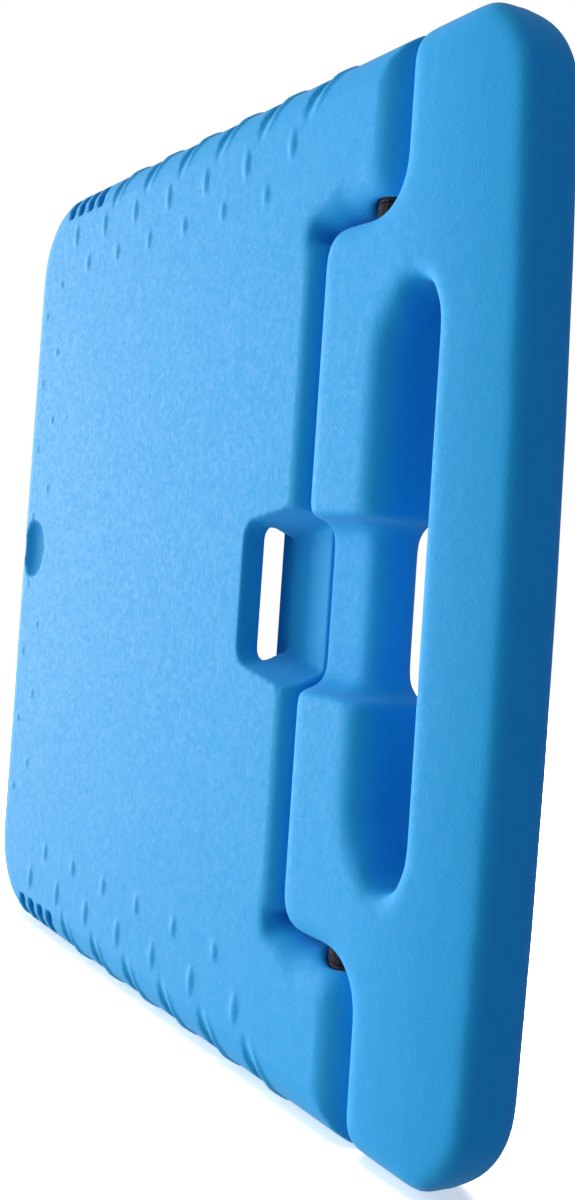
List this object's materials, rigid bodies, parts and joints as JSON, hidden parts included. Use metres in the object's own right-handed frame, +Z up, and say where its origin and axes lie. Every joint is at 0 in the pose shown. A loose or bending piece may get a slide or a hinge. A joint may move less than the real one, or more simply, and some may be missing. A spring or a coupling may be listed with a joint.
{
  "type": "tablet case",
  "caption": "Soft foam case for a ten-inch tablet, with thick bumpers and a carrying handle that folds back into a stand.",
  "frame": {"origin": "middle of the case's footprint, on the surface that it stands on when it is set on one short side", "axes": "+X from the lens edge to the grip bar, +Y from the back to the screen side, +Z up along the short sides' direction of standing, which is the tablet's length"},
  "size_m": [0.2971, 0.024, 0.28],
  "materials": {
    "foam": "matte closed-cell foam with a fine pebble skin",
    "hinge_plastic": "moulded, satin",
    "pin_plastic": "moulded, satin",
    "anchor_plastic": "moulded, satin"
  },
  "bodies": {
    "body": {"case_body": "foam", "hinge_bush_lower": "hinge_plastic", "hinge_bush_upper": "hinge_plastic"},
    "handle": {"handle": "foam", "hinge_pin_lower": "pin_plastic", "hinge_washer_lower": "hinge_plastic", "hinge_anchor_lower": "anchor_plastic", "hinge_pin_upper": "pin_plastic", "hinge_washer_upper": "hinge_plastic", "hinge_anchor_upper": "anchor_plastic"}
  },
  "joints": [
    {"name": "handle_hinge", "type": "hinge", "parent": "body", "child": "handle", "pos_m": [0.08972, 0, 0.14], "axis": [0, 0, -1], "range_deg": [0, 95]}
  ]
}
